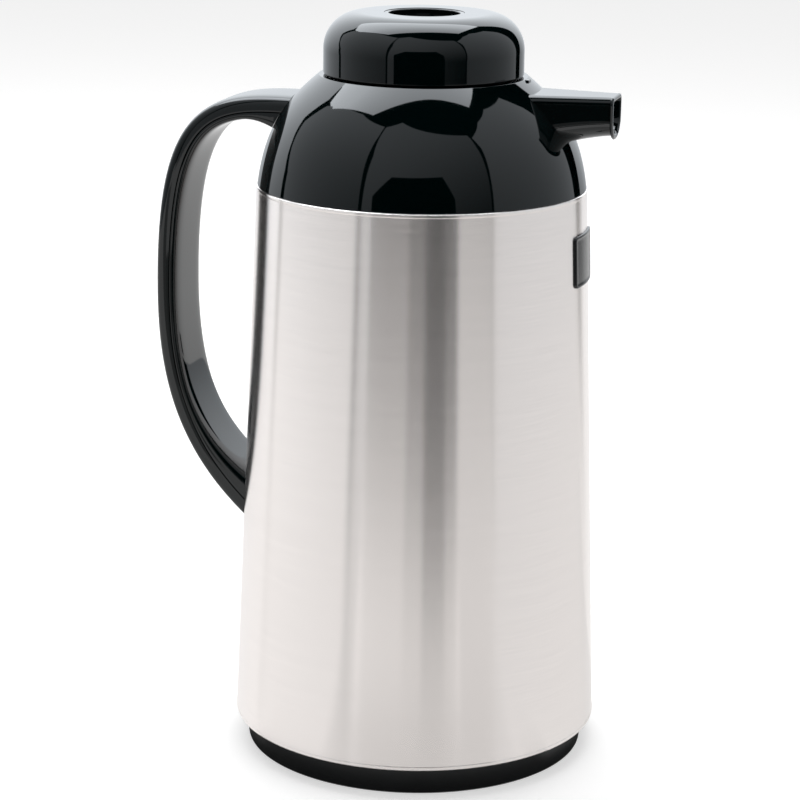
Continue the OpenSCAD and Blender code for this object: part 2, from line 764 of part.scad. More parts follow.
module name_plate() color(soft_black) {
    mid_z = bead_z - plate_drop;
    intersection() {
        difference() {
            jacket_solid(plate_t);
            jacket_solid();
        }
        along_x(jacket_top_r / 2, big) {
            w = plate_w / 2;
            h = plate_h / 2;
            translate([-w + plate_round, mid_z - h]) square([plate_w - 2 * plate_round, plate_h]);
            translate([-w, mid_z - h + plate_round]) square([plate_w, plate_h - 2 * plate_round]);
            for (y = [-1, 1], z = [-1, 1])
                translate([y * (w - plate_round), mid_z + z * (h - plate_round)]) circle(plate_round);
        }
    }
}

// ---- Stopper ----

flange_z = cap_z + slip;
flange_r = cap_r - cap_wall - slip;
snap_d = 1;
snap_h = 2;

module stopper_gasket() color(silicone) ring(plug_r, plug_r + stopper_gasket_w, seat_z, stopper_z);

module stopper_body() color(soft_black) {
    difference() {
        union() {
            ring(0, plug_r, plug_z, stopper_z + eps);
            ring(0, stopper_r, stopper_z, flange_z + stopper_flange_h);
            ring(0, flange_r, flange_z, flange_z + stopper_flange_h);
        }
        ring(0, plug_r - stopper_wall, plug_z + stopper_wall, top_z);
        ring(0, stopper_r - stopper_wall, stopper_z + stopper_wall, top_z + cap_h);
        ring(0, sleeve_r, plug_z - over, stopper_z);
    }
    ring(sleeve_r, sleeve_r + stopper_wall, plug_z, plug_z + sleeve_h);
    for (i = [0 : thread_starts - 1])
        thread_rib(stopper_r - stopper_wall / 2, collar_r - thread_gap,
                   rib_pitch * i + stopper_rib_start, stopper_rib_arc, stopper_rib_z);
}

module cap_outline(inset) {
    r = cap_r - inset;
    round = cap_round - inset;
    square([r, cap_h - cap_round]);
    square([r - round, cap_h - inset]);
    translate([r - round, cap_h - cap_round]) circle(round);
}

module cap_cover() color(black) translate([0, 0, cap_z]) {
    difference() {
        revolve() intersection() {
            cap_outline(0);
            square([cap_r, cap_h]);
        }
        revolve() intersection() {
            cap_outline(cap_wall);
            translate([0, -eps]) square([cap_r, cap_h]);
        }
        ring(0, hole_r + funnel_wall + slip, 0, cap_h + over);
    }
    // Snap rib that rests on the stopper's flange
    ring(flange_r - snap_d, cap_r - cap_wall + eps, slip + stopper_flange_h,
         slip + stopper_flange_h + snap_h);
}

// The ball rests on the edge of the retainer's hole and rises to the edge of the tube
ball_z = plug_z + retainer_h + sqrt(ball_r * ball_r - retainer_hole_r * retainer_hole_r) + ball_gap;
tube_top_z = cap_z - tube_drop;
tube_low_z = ball_z + ball_travel + ball_gap + sqrt(ball_r * ball_r - tube_r * tube_r);
cap_top_z = cap_z + cap_h;
hole_low_z = cap_top_z - hole_h;
rim_z = cap_top_z - slip;

module brew_funnel() color(black) revolve() {
    w = funnel_wall;
    polygon([
        [hole_r + hole_chamfer, rim_z], [hole_r, rim_z - hole_chamfer],
        [hole_r, hole_low_z], [tube_r, tube_top_z], [tube_r, tube_low_z],
        [tube_r + w, tube_low_z], [tube_r + w, tube_top_z - w / 2], [hole_r + w, hole_low_z - w / 2],
        [hole_r + w, rim_z]]);
    translate([hole_r + w / 2, cap_top_z - cap_wall - w]) square([w / 2 + funnel_flange_w, w]);
}

seal_z = tube_low_z + slip;

module funnel_seal() color(silicone) ring(tube_r + funnel_wall, sleeve_r, seal_z, seal_z + seal_h);

// ---- Float valve ----

module valve_ball() color(amber) translate([0, 0, ball_z]) sphere(r = ball_r);

module valve_retainer() color(silicone) difference() {
    ring(retainer_hole_r, sleeve_r - slip / 2, plug_z, plug_z + retainer_h);
    for (i = [0 : 3]) rotate([0, 0, 45 + 90 * i])
        translate([(retainer_hole_r + sleeve_r) / 2, 0, plug_z - over])
            cylinder(r = vent_r, h = retainer_h + 2 * over);
}

outer_body();
base_ring();
base_cover();
flask_cradle();
flask_outer_wall();
flask_inner_wall();
flask_spacers();
neck_gasket();
neck_collar();
shoulder();
spout();
handle_outer();
handle_inner();
handle_screws();
handle_backing_plate();
name_plate();
stopper_gasket();
stopper_body();
cap_cover();
brew_funnel();
funnel_seal();
valve_ball();
valve_retainer();
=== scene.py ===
import math

import bmesh
import bpy
from mathutils import Matrix, Vector


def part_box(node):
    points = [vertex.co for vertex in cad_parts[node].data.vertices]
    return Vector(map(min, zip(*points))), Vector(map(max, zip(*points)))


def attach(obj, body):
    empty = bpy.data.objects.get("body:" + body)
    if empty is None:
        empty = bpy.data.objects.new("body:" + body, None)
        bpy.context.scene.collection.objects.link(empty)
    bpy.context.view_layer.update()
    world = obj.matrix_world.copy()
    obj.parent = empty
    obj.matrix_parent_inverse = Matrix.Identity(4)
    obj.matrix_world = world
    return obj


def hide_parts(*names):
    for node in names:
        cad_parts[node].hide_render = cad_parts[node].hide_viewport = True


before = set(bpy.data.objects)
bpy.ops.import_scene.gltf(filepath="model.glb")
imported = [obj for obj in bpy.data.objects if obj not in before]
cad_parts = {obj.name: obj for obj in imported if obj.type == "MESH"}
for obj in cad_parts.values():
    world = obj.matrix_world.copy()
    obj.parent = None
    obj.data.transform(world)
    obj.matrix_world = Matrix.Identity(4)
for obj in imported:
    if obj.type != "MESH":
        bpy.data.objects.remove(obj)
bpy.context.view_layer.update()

mm = 0.001


# ---- Base ring ----
# The black ring that the carafe stands on. It is moulded in matt ABS, rests on the jacket's turned-in
# lip from inside and shows below it as a narrow band that leans in towards the foot.

def wired(tree, kind, inputs, **settings):
    """Adds a node. inputs gives, by name or number, a value or another node's output for each input."""
    made = tree.nodes.new(kind)
    for name, value in settings.items():
        setattr(made, name, value)
    for key, value in inputs.items():
        if isinstance(value, bpy.types.NodeSocket):
            tree.links.new(value, made.inputs[key])
        else:
            made.inputs[key].default_value = value
    return made


def group_tree(name, kind, takes, gives):
    """Starts a node group and returns it with its input node and its output node."""
    tree = bpy.data.node_groups.new(name, kind)
    for label, socket_kind in takes.items():
        tree.interface.new_socket(label, in_out="INPUT", socket_type="NodeSocket" + socket_kind)
    for label, socket_kind in gives.items():
        tree.interface.new_socket(label, in_out="OUTPUT", socket_type="NodeSocket" + socket_kind)
    return tree, tree.nodes.new("NodeGroupInput").outputs, tree.nodes.new("NodeGroupOutput").inputs


def maths(tree, operation, *values):
    return wired(tree, "ShaderNodeMath", dict(enumerate(values)), operation=operation).outputs[0]


# Lathe: turns a closed outline, drawn in the X-Z plane, round the Z axis into one closed skin
lathe, takes, gives = group_tree(
    "Lathe", "GeometryNodeTree",
    {"Outline": "Geometry", "Turns": "Int", "Finish": "Material"}, {"Skin": "Geometry"})
outline_points = wired(lathe, "GeometryNodeAttributeDomainSize", {0: takes["Outline"]}).outputs[0]
rows = maths(lathe, "ADD", outline_points, 1)
grid = wired(lathe, "GeometryNodeMeshGrid",
             {"Vertices X": maths(lathe, "ADD", takes["Turns"], 1), "Vertices Y": rows})
place = wired(lathe, "GeometryNodeInputIndex", {}).outputs[0]
step_round = maths(lathe, "FLOOR", maths(lathe, "DIVIDE", maths(lathe, "ADD", place, 0.5), rows))
step_along = maths(lathe, "SUBTRACT", place, maths(lathe, "MULTIPLY", step_round, rows))
drawn = wired(lathe, "GeometryNodeSampleIndex",
              {"Geometry": takes["Outline"],
               "Value": wired(lathe, "GeometryNodeInputPosition", {}).outputs[0],
               "Index": maths(lathe, "MODULO", step_along, outline_points)},
              data_type="FLOAT_VECTOR")
angle = maths(lathe, "MULTIPLY", maths(lathe, "DIVIDE", step_round, takes["Turns"]), math.tau)
swung = wired(lathe, "ShaderNodeVectorRotate", {"Vector": drawn.outputs[0], "Angle": angle},
              rotation_type="Z_AXIS")
skin = wired(lathe, "GeometryNodeSetPosition",
             {"Geometry": grid.outputs[0], "Position": swung.outputs[0]})
skin = wired(lathe, "GeometryNodeMergeByDistance", {"Geometry": skin.outputs[0], "Distance": 1e-6})
skin = wired(lathe, "GeometryNodeRealizeInstances", {"Geometry": skin.outputs[0]})
skin = wired(lathe, "GeometryNodeSetMaterial", {"Geometry": skin.outputs[0], "Material": takes["Finish"]})
lathe.links.new(skin.outputs[0], gives["Skin"])


def softened(corners, arc_steps=None):
    """Closed outline through corners (x, y, radius), each rounded, or a plain point if radius is None."""
    points = []
    for i, (x, y, radius) in enumerate(corners):
        here = Vector((x, y))
        if radius is None:
            points.append(here)
            continue
        back = (Vector(corners[i - 1][:2]) - here).normalized()
        on = (Vector(corners[(i + 1) % len(corners)][:2]) - here).normalized()
        half = back.angle(on) / 2
        centre = here + (back + on).normalized() * radius / math.sin(half)
        first = here + back * radius / math.tan(half)
        turn = (math.pi - 2 * half) * (1 if back.cross(on) < 0 else -1)
        steps = arc_steps or max(4, math.ceil(abs(turn) / math.radians(4)))
        spoke = first - centre
        hold = min(0.35 * mm, 0.3 * radius)
        points.append(first + back * hold)
        for k in range(steps + 1):
            points.append(centre + Matrix.Rotation(turn * k / steps, 2) @ spoke)
        points.append(here + on * (radius / math.tan(half) + hold))
    return points


def settled(piece, finish):
    """Makes the modifiers' result the piece's own mesh, closed and with its faces outwards."""
    result = bpy.data.meshes.new_from_object(
        piece.evaluated_get(bpy.context.evaluated_depsgraph_get()))
    piece.modifiers.clear()
    piece.data = result
    shape = bmesh.new()
    shape.from_mesh(result)
    bmesh.ops.remove_doubles(shape, verts=shape.verts, dist=1e-7)
    bmesh.ops.recalc_face_normals(shape, faces=shape.faces)
    shape.to_mesh(result)
    shape.free()
    result.shade_smooth()
    result.set_sharp_from_angle(angle=math.radians(35))
    result.materials.clear()
    result.materials.append(finish)
    return piece


def drawn_piece(name, points, edges, faces):
    mesh = bpy.data.meshes.new(name)
    mesh.from_pydata(points, edges, faces)
    piece = bpy.data.objects.new(name, mesh)
    bpy.context.scene.collection.objects.link(piece)
    return piece


def turned(name, corners, finish, turns=256):
    """A piece turned on the lathe from a closed outline of corners (radius, height, rounding)."""
    points = softened(corners)
    count = len(points)
    loop = [(i, (i + 1) % count) for i in range(count)]
    piece = drawn_piece(name, [(p.x, 0, p.y) for p in points], loop, [])
    turning = piece.modifiers.new("lathe", "NODES")
    turning.node_group = lathe
    for socket in lathe.interface.items_tree:
        if socket.name == "Turns":
            turning[socket.identifier] = turns
        if socket.name == "Finish":
            turning[socket.identifier] = finish
    return settled(piece, finish)


# Moulded skin: the fine grain of a mould, its slight shade and gloss changes, and a few handling smudges
moulded, takes, gives = group_tree(
    "Moulded skin", "ShaderNodeTree",
    {"Place": "Vector", "Colour": "Color", "Shade change": "Float", "Roughness": "Float",
     "Gloss change": "Float", "Grain size": "Float", "Grain depth": "Float"},
    {"Colour": "Color", "Roughness": "Float", "Normal": "Vector"})
clouds = wired(moulded, "ShaderNodeTexNoise", {"Vector": takes["Place"], "Scale": 26, "Detail": 3})
cloud = maths(moulded, "SUBTRACT", clouds.outputs[0], 0.5)
shade = maths(moulded, "ADD", maths(moulded, "MULTIPLY", cloud, takes["Shade change"]), 1)
tinted = wired(moulded, "ShaderNodeVectorMath", {0: takes["Colour"], "Scale": shade}, operation="SCALE")
smudges = wired(moulded, "ShaderNodeTexNoise",
                {"Vector": takes["Place"], "Scale": 60, "Detail": 5, "Roughness": 0.65})
smudge = maths(moulded, "MULTIPLY", maths(moulded, "SUBTRACT", smudges.outputs[0], 0.5),
               takes["Gloss change"])
grain = wired(moulded, "ShaderNodeTexNoise",
              {"Vector": takes["Place"], "Scale": maths(moulded, "DIVIDE", 1, takes["Grain size"]),
               "Detail": 2})
pitted = wired(moulded, "ShaderNodeBump",
               {"Strength": 1, "Distance": takes["Grain depth"], "Height": grain.outputs[0]})
moulded.links.new(tinted.outputs[0], gives["Colour"])
moulded.links.new(maths(moulded, "ADD", takes["Roughness"], smudge), gives["Roughness"])
moulded.links.new(pitted.outputs[0], gives["Normal"])


def coated(name, group, values, **constants):
    """A material whose colour, roughness and normal come from a skin group, with the rest constant."""
    finish = bpy.data.materials.new(name)
    finish.use_nodes = True
    tree = finish.node_tree
    shader = tree.nodes["Principled BSDF"]
    place = wired(tree, "ShaderNodeTexCoord", {}).outputs["Object"]
    skin = wired(tree, "ShaderNodeGroup", {}, node_tree=group)
    tree.links.new(place, skin.inputs["Place"])
    for label, value in values.items():
        skin.inputs[label].default_value = value
    tree.links.new(skin.outputs["Colour"], shader.inputs["Base Color"])
    tree.links.new(skin.outputs["Roughness"], shader.inputs["Roughness"])
    tree.links.new(skin.outputs["Normal"], shader.inputs["Normal"])
    for label, value in constants.items():
        shader.inputs[label.replace("_", " ").title().replace("Ior", "IOR")].default_value = value
    return finish


matt_black = coated("matt black ABS", moulded, {
    "Colour": (0.008, 0.009, 0.0095, 1), "Shade change": 0.35, "Roughness": 0.38, "Gloss change": 0.12,
    "Grain size": 0.7 * mm, "Grain depth": 0.01 * mm})

ring_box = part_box("base_ring")
foot_r = 68.0 * mm
foot_bore_r = 61.2 * mm
waist_r = 69.2 * mm
skirt_r = ring_box[1].x
skirt_top_z = ring_box[1].z
lip_seat_z = 12.4 * mm
skirt_wall = 2.4 * mm
base_ring = turned("standing_ring", [
    (foot_bore_r, 0, 0.5 * mm), (foot_r, 0, 1.3 * mm), (waist_r, 11.4 * mm, 0.3 * mm),
    (waist_r, lip_seat_z, 0.2 * mm), (skirt_r, lip_seat_z, 0.3 * mm), (skirt_r, skirt_top_z, 0.6 * mm),
    (skirt_r - skirt_wall, skirt_top_z, 0.6 * mm), (skirt_r - skirt_wall, 14.4 * mm, 0.4 * mm),
    (56 * mm, 10 * mm, 0.5 * mm), (56 * mm, 8 * mm, 0.5 * mm), (foot_bore_r, 8 * mm, 0.5 * mm)],
    matt_black)
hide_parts("base_ring")
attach(base_ring, "root")


# ---- Base cover ----
# The round cover that closes the ring from below, moulded in the same matt ABS. It is unscrewed with
# a coin in its slot when the glass flask has to be changed.

def dress(node, finish):
    """Gives a CAD node its finish, on the object and not on its mesh."""
    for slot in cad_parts[node].material_slots:
        slot.link = "OBJECT"
        slot.material = finish


dress("base_cover", matt_black)


# ---- Steel jacket ----
# The outer body: a cone of 0.8 mm stainless sheet, seamed and brushed round its axis. A bead is rolled
# at each edge, and the lower one turns in as a lip that the base ring sits on.

# Brushed skin: fine streaks along the brushing, with softer bands of shade and a few deeper scratches
brushed, takes, gives = group_tree(
    "Brushed skin", "ShaderNodeTree",
    {"Place": "Vector", "Colour": "Color", "Streaks": "Vector", "Shade change": "Float",
     "Roughness": "Float", "Gloss change": "Float", "Streak depth": "Float"},
    {"Colour": "Color", "Roughness": "Float", "Normal": "Vector"})
stretched = wired(brushed, "ShaderNodeVectorMath", {0: takes["Place"], 1: takes["Streaks"]},
                  operation="MULTIPLY").outputs[0]
fine = wired(brushed, "ShaderNodeTexNoise",
             {"Vector": stretched, "Scale": 1, "Detail": 4, "Roughness": 0.7}).outputs[0]
coarse = wired(brushed, "ShaderNodeTexNoise",
               {"Vector": stretched, "Scale": 0.13, "Detail": 3}).outputs[0]
both = maths(brushed, "ADD", fine, maths(brushed, "MULTIPLY", coarse, 0.3))
both = maths(brushed, "SUBTRACT", both, 0.65)
shade = maths(brushed, "ADD", maths(brushed, "MULTIPLY", both, takes["Shade change"]), 1)
tinted = wired(brushed, "ShaderNodeVectorMath", {0: takes["Colour"], "Scale": shade}, operation="SCALE")
scored = wired(brushed, "ShaderNodeBump",
               {"Strength": 1, "Distance": takes["Streak depth"], "Height": fine})
brushed.links.new(tinted.outputs[0], gives["Colour"])
brushed.links.new(maths(brushed, "ADD", takes["Roughness"],
                        maths(brushed, "MULTIPLY", both, takes["Gloss change"])), gives["Roughness"])
brushed.links.new(scored.outputs[0], gives["Normal"])

brushed_steel = coated("brushed steel", brushed, {
    "Colour": (0.94, 0.885, 0.855, 1), "Streaks": (45, 45, 2600), "Shade change": 0.12,
    "Roughness": 0.25, "Gloss change": 0.05, "Streak depth": 0.0003 * mm},
    metallic=1, anisotropic=1, anisotropic_rotation=0.25)
tree = brushed_steel.node_tree
around = wired(tree, "ShaderNodeTangent", {}, direction_type="RADIAL", axis="Z")
tree.links.new(around.outputs[0], tree.nodes["Principled BSDF"].inputs["Tangent"])

jacket_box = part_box("outer_body")
jacket_foot_r = jacket_box[1].x
jacket_foot_z = jacket_box[0].z
jacket_top_z = jacket_box[1].z
jacket_top_r = 64.8 * mm
sheet = 0.8 * mm
bead_r = 0.9 * mm
groove = 0.15 * mm
foot_groove = 0.04 * mm
lip_r = 69.4 * mm
jacket_slope = (jacket_foot_r - jacket_top_r) / (jacket_top_z - bead_r - jacket_foot_z)


def jacket_r(z):
    return jacket_foot_r - jacket_slope * (z - jacket_foot_z)


bead_low_z = jacket_top_z - 1.3 * mm
foot_bead_z = jacket_foot_z + 1.6 * mm
jacket = turned("steel_jacket", [
    (jacket_foot_r, jacket_foot_z, 0.6 * mm), (jacket_foot_r, foot_bead_z, 0.5 * mm),
    (jacket_r(foot_bead_z) - foot_groove, foot_bead_z + 0.2 * mm, 0.2 * mm),
    (jacket_r(bead_low_z) - groove, bead_low_z - 0.2 * mm, 0.2 * mm),
    (jacket_top_r, bead_low_z, 0.4 * mm), (jacket_top_r, jacket_top_z, 0.6 * mm),
    (jacket_top_r - 2 * bead_r, jacket_top_z, 0.8 * mm),
    (jacket_top_r - 2 * bead_r, bead_low_z, 0.4 * mm),
    (jacket_top_r - sheet - 0.1 * mm, bead_low_z - 0.3 * mm, 0.2 * mm),
    (jacket_r(foot_bead_z) - sheet, foot_bead_z + 0.4 * mm, 0.3 * mm),
    (jacket_foot_r - 2 * bead_r, foot_bead_z, 0.3 * mm),
    (jacket_foot_r - 2 * bead_r, lip_seat_z, 0.2 * mm), (lip_r, lip_seat_z, 0.2 * mm),
    (lip_r, jacket_foot_z, 0.2 * mm)],
    brushed_steel)
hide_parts("outer_body")
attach(jacket, "root")


# ---- Flask cradle ----
# The cup of soft black rubber that stands inside the base ring. It carries the glass flask, damps
# knocks and takes up the flask's tolerance in height.

cradle_rubber = coated("black rubber", moulded, {
    "Colour": (0.02, 0.02, 0.021, 1), "Shade change": 0.5, "Roughness": 0.62, "Gloss change": 0.2,
    "Grain size": 0.5 * mm, "Grain depth": 0.03 * mm})
dress("flask_cradle", cradle_rubber)


# ---- Glass flask ----
# Two blown glass walls fused at the lip, with a vacuum between them and a mirror of silver on their
# facing sides. Three small pads keep them apart, and the tip at the bottom is where the air was drawn.

silvered_glass = coated("silvered glass", moulded, {
    "Colour": (0.86, 0.85, 0.83, 1), "Shade change": 0.12, "Roughness": 0.06, "Gloss change": 0.05,
    "Grain size": 14 * mm, "Grain depth": 0.25 * mm},
    metallic=1, coat_weight=1, coat_roughness=0.02)
pad_silicone = coated("milky silicone", moulded, {
    "Colour": (0.6, 0.57, 0.52, 1), "Shade change": 0.15, "Roughness": 0.45, "Gloss change": 0.15,
    "Grain size": 0.6 * mm, "Grain depth": 0.015 * mm})
dress("flask_outer_wall", silvered_glass)
dress("flask_inner_wall", silvered_glass)
dress("flask_spacers", pad_silicone)


# ---- Neck ----
# A silicone gasket caps the flask's lip, and the collar in matt ABS presses it down. The collar holds
# the four ribs of the quick thread, and has a window that the coffee pours through.

dress("neck_gasket", pad_silicone)
dress("neck_collar", matt_black)


# ---- Shoulder ----
# The glossy black dome on the jacket, moulded in ABS with a polished face. A skirt plugs it into the
# jacket, a ledge goes round its mouth, and a small pointer on the ledge shows where the spout is.

gloss_black = coated("gloss black ABS", moulded, {
    "Colour": (0.0003, 0.0028, 0.003, 1), "Shade change": 0.3, "Roughness": 0.04, "Gloss change": 0.04,
    "Grain size": 9 * mm, "Grain depth": 0.002 * mm},
    ior=1.5)

shoulder_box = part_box("shoulder")
shoulder_low_z = jacket_top_z
shoulder_top_z = shoulder_box[1].z
shoulder_wall = 2.8 * mm
ledge_z = 268.5 * mm
mouth_r = 34.5 * mm
skirt_out_r = 62.8 * mm
DOME = [Vector(p) * mm for p in ((64.4, 228), (61.3, 250), (54, 259.8), (40.6, 271))]


def on_curve(p, t):
    """Place and direction at t on the curve with the four points p."""
    u = 1 - t
    place = u ** 3 * p[0] + 3 * u * u * t * p[1] + 3 * u * t * t * p[2] + t ** 3 * p[3]
    way = u * u * (p[1] - p[0]) + 2 * u * t * (p[2] - p[1]) + t * t * (p[3] - p[2])
    return place, way.normalized()


def dome_line(start, end, count, inset=0.0):
    """Plain outline points on the dome, from start to end along it, 0 to 1, moved in by inset."""
    line = []
    for k in range(count + 1):
        place, way = on_curve(DOME, start + (end - start) * k / count)
        line.append((place.x - inset * way.y, place.y + inset * way.x, None))
    return line


def shoulder_r(z, inset=0.0):
    """Radius of the dome's face, moved in by inset, at height z."""
    low, high = 0.0, 1.0
    for _ in range(24):
        half = (low + high) / 2
        if dome_line(half, half, 1, inset)[0][1] < z:
            low = half
        else:
            high = half
    return dome_line(low, low, 1, inset)[0][0]


def lofted(name, rings, finish, joined=False):
    """Skin over rings of equally many points, whose ends are joined to each other or closed."""
    n = len(rings[0])
    count = len(rings)
    faces = []
    for i in range(count if joined else count - 1):
        for j in range(n):
            a, b = i * n + j, i * n + (j + 1) % n
            c, d = ((i + 1) % count) * n + (j + 1) % n, ((i + 1) % count) * n + j
            faces.append((a, b, c, d))
    if not joined:
        faces += [tuple(range(n))[::-1], tuple(range((count - 1) * n, count * n))]
    piece = drawn_piece(name, [p for ring in rings for p in ring], [], faces)
    return settled(piece, finish)


def spout_section(half_w, top, low, edge=0.3 * mm):
    """Section (y, z): flat on top, with edges of this rounding, and sides that round into the bottom."""
    sag = 0.8 * half_w
    points = []
    for k in range(25):
        turn = math.pi * k / 24
        points.append((-half_w * 0.97 * math.cos(turn), low + sag * (1 - math.sin(turn)), None))
    return softened([(-half_w, top, edge)] + points + [(half_w, top, edge)], arc_steps=8)


def duct_section(grow):
    return spout_section((6.3 + grow) * mm, (263.0 + grow) * mm, (253.6 - grow) * mm)


def flat_ring(x, section):
    return [(x, p.x, p.y) for p in section]


def rod(radius, x0, x1, y, z):
    """A round bar along X, to add to a piece or to cut out of it."""
    ring = [Vector((0, radius * math.cos(math.tau * k / 32), radius * math.sin(math.tau * k / 32)))
            for k in range(32)]
    ends = [[tuple(Vector((x, y, z)) + p) for p in ring] for x in (x0, x1)]
    return lofted("rod", ends, gloss_black)


def combined(piece, other, operation, drop=True):
    """Adds another closed body to the piece or cuts it out, with an operation of the Boolean modifier."""
    joint = piece.modifiers.new("joint", "BOOLEAN")
    joint.operation = operation
    joint.object = other
    settled(piece, piece.data.materials[0])
    if drop:
        bpy.data.objects.remove(other)


inner_low = skirt_out_r - shoulder_wall
inner_low_z = shoulder_low_z + shoulder_wall / 2
shoulder = turned("shoulder_dome", [
    (DOME[0].x, DOME[0].y, 0.3 * mm)] + dome_line(0.03, 0.98, 44) + [
    (DOME[3].x, DOME[3].y, 0.4 * mm), (mouth_r, shoulder_top_z, 0.4 * mm),
    (mouth_r, ledge_z, 0.4 * mm), (shoulder_r(ledge_z, shoulder_wall), ledge_z, 0.6 * mm)]
    + dome_line(0.92, 0.06, 20, shoulder_wall) + [
    (shoulder_r(inner_low_z, shoulder_wall), inner_low_z, 0.15 * mm), (inner_low, inner_low_z, 0.3 * mm),
    (inner_low, shoulder_box[0].z, 0.6 * mm), (skirt_out_r, shoulder_box[0].z, 0.6 * mm),
    (skirt_out_r, shoulder_low_z, 0.2 * mm)],
    gloss_black, turns=288)

screw_z = 255.9 * mm
screw_seat_x = 47.6 * mm
boss_r = 3.8 * mm
boss_bore_r = 1.5 * mm
# The pointer's rings in mm: how far out, half width, foot and top
pointer_rings = [[(x * mm, y * mm, z * mm) for y, z in ((-w, low), (w, low), (w, top), (-w, top))]
                 for x, w, low, top in ((40.2, 2, 269.4, 270.92), (41.9, 2, 269.4, 270.92),
                                        (42.15, 1.7, 269.5, 270.6))]
pointer = lofted("pointer", pointer_rings, gloss_black)
combined(shoulder, pointer, "UNION")
for side in (-6 * mm, 6 * mm):
    combined(shoulder, rod(boss_r, -screw_seat_x, -53 * mm, side, screw_z), "UNION")
    combined(shoulder, rod(boss_bore_r, -40 * mm, -64 * mm, side, screw_z), "DIFFERENCE")
duct_hole = lofted("duct_hole", [flat_ring(x * mm, duct_section(1.6)) for x in (36, 68)], gloss_black)
combined(shoulder, duct_hole, "DIFFERENCE")
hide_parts("shoulder")
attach(shoulder, "root")


# ---- Stopper ----
# What the cap carries: the stopper with its thread ribs and its gasket, the seal round the funnel's
# tube, and the float ball in its cage that closes the tube when the flask is full.

float_plastic = coated("float plastic", moulded, {
    "Colour": (0.72, 0.66, 0.52, 1), "Shade change": 0.1, "Roughness": 0.3, "Gloss change": 0.1,
    "Grain size": 0.8 * mm, "Grain depth": 0.01 * mm})
dress("stopper_body", matt_black)
dress("stopper_gasket", pad_silicone)
dress("funnel_seal", pad_silicone)
dress("valve_retainer", pad_silicone)
dress("valve_ball", float_plastic)


# ---- Brewing funnel ----
# The rim of the hole that coffee is brewed through, with its cone and tube in one black moulding. Its
# softened edge catches the light, and its flange clips under the cap.

funnel_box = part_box("brew_funnel")
hole_r = 13.8 * mm
funnel_wall = 1.6 * mm
rim_z = funnel_box[1].z
tube_low_z = funnel_box[0].z
funnel_flange_r = funnel_box[1].x
tube_r = 5.5 * mm
tube_top_z = 267.5 * mm
hole_low_z = 290 * mm
flange_top_z = 293 * mm
flange_low_z = flange_top_z - 1.6 * mm
funnel = turned("brewing_funnel", [
    (hole_r, rim_z, 0.45 * mm), (hole_r, hole_low_z, 1 * mm),
    (tube_r, tube_top_z, 1.5 * mm), (tube_r, tube_low_z, 0.3 * mm),
    (tube_r + funnel_wall, tube_low_z, 0.3 * mm),
    (tube_r + funnel_wall, tube_top_z - 0.8 * mm, 1.5 * mm),
    (hole_r + funnel_wall, hole_low_z - 0.8 * mm, 1 * mm),
    (hole_r + funnel_wall, flange_low_z, 0.2 * mm),
    (funnel_flange_r, flange_low_z, 0.3 * mm), (funnel_flange_r, flange_top_z, 0.3 * mm),
    (hole_r + funnel_wall, flange_top_z, 0.05 * mm), (hole_r + funnel_wall, rim_z, 0.08 * mm)],
    gloss_black)
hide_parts("brew_funnel")
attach(funnel, "stopper")


# ---- Cap ----
# The round knob that the stopper is turned with: a polished black shell with a full rounding between
# its side and its top, and the brewing hole through its middle.

cap_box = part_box("cap_cover")
cap_r = cap_box[1].x
cap_low_z = cap_box[0].z
cap_top_z = cap_box[1].z
cap_round = 14 * mm
cap_wall = 2 * mm
cap_hole_r = hole_r + funnel_wall + 0.06 * mm
cap = turned("cap_knob", [
    (cap_r, cap_low_z, 0.6 * mm), (cap_r, cap_top_z, cap_round), (cap_hole_r, cap_top_z, 0.2 * mm),
    (cap_hole_r, cap_top_z - cap_wall, 0.2 * mm),
    (cap_r - cap_wall, cap_top_z - cap_wall, cap_round - cap_wall),
    (cap_r - cap_wall, cap_low_z, 0.4 * mm)],
    gloss_black, turns=288)
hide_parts("cap_cover")
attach(cap, "stopper")


# ---- Spout ----
# The fixed pouring spout, moulded in gloss black and set into the shoulder. It is flat on top and
# rounded below, narrows towards a thin rim round its open mouth, and its duct reaches the collar.

spout_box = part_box("spout")
spout_end_x = spout_box[1].x
spout_back_x = 34.4 * mm
spout_top_z = 266.5 * mm
rim_start_x = spout_end_x - 1.2 * mm
taper_start_x = 40.6 * mm
sunk = 0.05 * mm
edge_round = 2.5 * mm
tip_h = 15.4 * mm
root_drop = 8.6 * mm
# Half widths at the root and at the rim, in mm
root_half, tip_half = 14, 8.5


def outer_section(x):
    """The spout's outer section where it crosses x, tapering from the shoulder to the rim."""
    far = (x - taper_start_x) / (rim_start_x - taper_start_x)
    half_w = (root_half + (tip_half - root_half) * far) * mm
    low = spout_top_z - tip_h - root_drop * max(0, 1 - far) ** 1.4
    return spout_section(half_w, spout_top_z, low, edge_round)


def wall_x(y, z):
    """How far out the shoulder's face is at (y, z), less the depth that the spout's root is sunk."""
    return math.sqrt(max(0, shoulder_r(min(z, shoulder_top_z), sunk) ** 2 - y * y))


def wall_ring(section):
    return [(wall_x(p.x, p.y), p.x, p.y) for p in section]


def leaning_ring(far):
    """A ring between the shoulder's face, which leans, and the upright rim."""
    ring = []
    for k in range(len(outer_section(rim_start_x))):
        x = taper_start_x
        for _ in range(6):
            point = outer_section(x)[k]
            root = wall_x(point.x, point.y)
            x = root + (rim_start_x - root) * far
        ring.append((x, point.x, point.y))
    return ring


root_ring = leaning_ring(0)
duct = duct_section(1.4)
rings = [flat_ring(spout_back_x, duct), wall_ring(duct)]
for share in (0.25, 0.5, 0.75):
    between = [p.lerp(Vector(q[1:]), share) for p, q in zip(duct, root_ring)]
    rings.append(wall_ring(between))
rings += [root_ring] + [leaning_ring(k / 16) for k in range(1, 16)]
